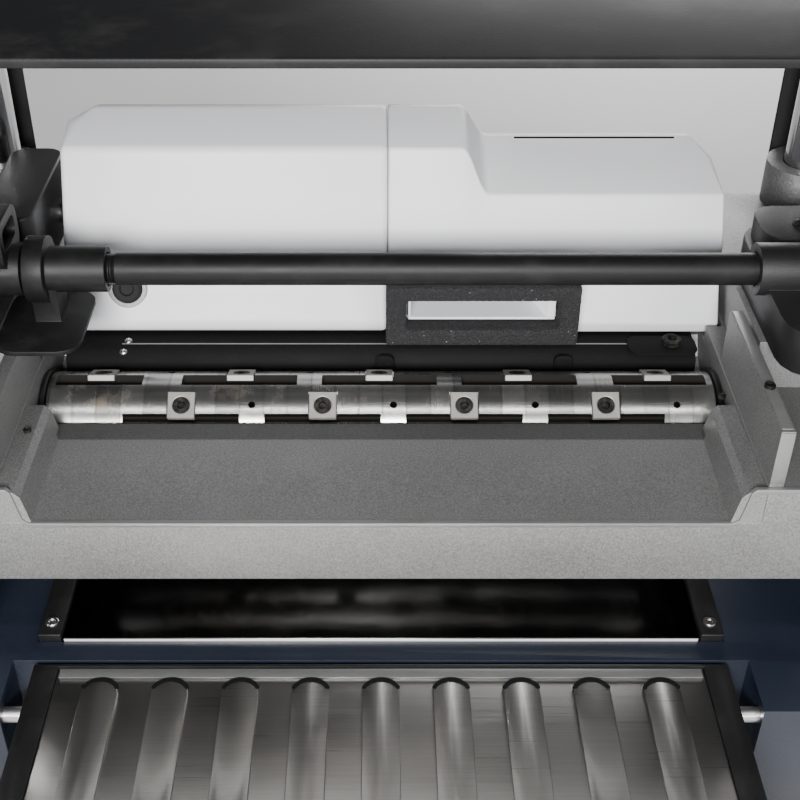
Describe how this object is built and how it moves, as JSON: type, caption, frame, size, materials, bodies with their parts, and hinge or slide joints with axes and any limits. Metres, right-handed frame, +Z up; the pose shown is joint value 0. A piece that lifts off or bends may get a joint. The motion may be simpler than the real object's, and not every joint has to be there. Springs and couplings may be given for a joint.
{
  "type": "benchtop thickness planer",
  "caption": "Thickness planer with its top cover off: a carriage with segmented cutterhead, feed rollers, motor and chip hood rides on columns above a table with folding leaves.",
  "frame": {"origin": "centre of the footprint at floor level", "axes": "+X to the operator's right, -Y towards the operator, +Z up"},
  "size_m": [0.56, 0.74, 0.4604],
  "materials": {
    "blue_paint": "satin dark blue paint",
    "cast_aluminium": "sand-textured casting",
    "white_plastic": "satin moulded",
    "black_plastic": "fine moulded grain",
    "black_steel": "satin black coating",
    "stainless": "polished",
    "chrome": "hard chrome, ground",
    "steel": "machined, lightly oiled",
    "rubber": "matt",
    "foam": "open-cell foam",
    "red_plastic": "moulded"
  },
  "bodies": {
    "base": {"base": "blue_paint", "foot_front_left": "rubber", "foot_front_right": "rubber", "foot_rear_left": "rubber", "foot_rear_right": "rubber", "main_table": "stainless", "side_rail_left": "black_steel", "side_rail_right": "black_steel", "column_front_left": "chrome", "column_front_right": "chrome", "column_rear_left": "chrome", "column_rear_right": "chrome", "side_frame_left": "black_steel", "side_frame_right": "black_steel", "top_plate": "black_steel", "sync_chain": "steel", "hinge_pin_infeed_left": "steel", "hinge_pin_infeed_right": "steel", "hinge_pin_outfeed_left": "steel", "hinge_pin_outfeed_right": "steel", "switch_housing": "black_plastic", "cable_gland": "black_plastic"},
    "carriage": {"carriage_casting": "cast_aluminium", "hood_left": "white_plastic", "hood_right": "white_plastic", "foam_gasket": "foam", "chip_chute": "white_plastic", "chip_deflector": "black_steel", "lock_bracket": "black_steel", "left_cover": "black_plastic", "right_cover": "black_plastic", "bearing_left": "black_steel", "bearing_right": "black_steel", "motor_housing": "black_plastic", "motor_end_bell": "cast_aluminium", "drive_belt": "rubber", "feed_gearbox": "cast_aluminium", "lead_nut_left": "steel", "lead_nut_right": "steel", "dust_port": "black_plastic"},
    "cutter": {"cutterhead": "steel", "head_pulley": "steel"},
    "rotor": {"motor_rotor": "steel", "motor_pulley": "steel", "chip_fan": "black_plastic"},
    "infeed_drive": {"infeed_roller": "steel"},
    "outfeed_drive": {"outfeed_roller": "rubber"},
    "lock": {"lock_shaft": "black_steel", "lock_lever": "black_steel"},
    "screw_left": {"lead_screw_left": "steel"},
    "screw_right": {"lead_screw_right": "steel", "crank_arm": "black_steel"},
    "knob": {"crank_knob": "black_plastic"},
    "infeed_leaf": {"infeed_leaf_frame": "black_steel", "infeed_leaf_plate": "stainless"},
    "outfeed_leaf": {"outfeed_leaf_frame": "black_steel", "outfeed_leaf_plate": "stainless"},
    "paddle": {"switch_paddle": "red_plastic"},
    "button": {"reset_button": "red_plastic"},
    "depth_stop": {"depth_stop_knob": "black_plastic"}
  },
  "joints": [
    {"name": "carriage_slide", "type": "slide", "parent": "base", "child": "carriage", "axis": [0, 0, 1], "range_m": [-0.0585, 0.0905]},
    {"name": "screw_left_turn", "type": "hinge", "parent": "base", "child": "screw_left", "pos_m": [-0.24, 0.055, 0], "axis": [0, 0, 1], "range_deg": [-5300, 8200]},
    {"name": "screw_right_turn", "type": "hinge", "parent": "base", "child": "screw_right", "pos_m": [0.24, 0.055, 0], "axis": [0, 0, 1], "range_deg": [-5300, 8200]},
    {"name": "crank_knob_spin", "type": "hinge", "parent": "screw_right", "child": "knob", "pos_m": [0.24, -0.035, 0], "axis": [0, 0, 1], "continuous": true},
    {"name": "cutterhead_spin", "type": "hinge", "parent": "carriage", "child": "cutter", "pos_m": [-0.013, -0.029, 0.1705], "axis": [1, 0, 0], "continuous": true},
    {"name": "motor_spin", "type": "hinge", "parent": "carriage", "child": "rotor", "pos_m": [-0.013, 0.071, 0.2405], "axis": [1, 0, 0], "continuous": true},
    {"name": "infeed_roller_turn", "type": "hinge", "parent": "carriage", "child": "infeed_drive", "pos_m": [-0.013, -0.091, 0.157], "axis": [1, 0, 0], "continuous": true},
    {"name": "outfeed_roller_turn", "type": "hinge", "parent": "carriage", "child": "outfeed_drive", "pos_m": [-0.013, 0.033, 0.157], "axis": [1, 0, 0], "continuous": true},
    {"name": "lock_turn", "type": "hinge", "parent": "carriage", "child": "lock", "pos_m": [-0.013, -0.024, 0.2585], "axis": [-1, 0, 0], "range_deg": [0, 30]},
    {"name": "infeed_fold", "type": "hinge", "parent": "base", "child": "infeed_leaf", "pos_m": [-0.013, -0.143, 0.0695], "axis": [-1, 0, 0], "range_deg": [0, 90]},
    {"name": "outfeed_fold", "type": "hinge", "parent": "base", "child": "outfeed_leaf", "pos_m": [-0.013, 0.143, 0.0695], "axis": [1, 0, 0], "range_deg": [0, 90]},
    {"name": "paddle_swing", "type": "hinge", "parent": "base", "child": "paddle", "pos_m": [0.24, -0.17385, 0.376], "axis": [1, 0, 0], "range_deg": [-25, 5]},
    {"name": "reset_press", "type": "slide", "parent": "base", "child": "button", "axis": [0, 1, 0], "range_m": [0, 0.003], "stiffness_N_per_m": 400},
    {"name": "depth_stop_turn", "type": "hinge", "parent": "base", "child": "depth_stop", "pos_m": [-0.248, -0.15035, 0.044], "axis": [0, 1, 0], "range_deg": [0, 270]}
  ],
  "couplings": [
    {"joint": "screw_left_turn", "follows": "carriage_slide", "rad_per_m": 1570.8},
    {"joint": "screw_right_turn", "follows": "carriage_slide", "rad_per_m": 1570.8},
    {"joint": "motor_spin", "follows": "cutterhead_spin", "ratio": 1},
    {"joint": "infeed_roller_turn", "follows": "cutterhead_spin", "ratio": -0.01},
    {"joint": "outfeed_roller_turn", "follows": "cutterhead_spin", "ratio": -0.01}
  ]
}
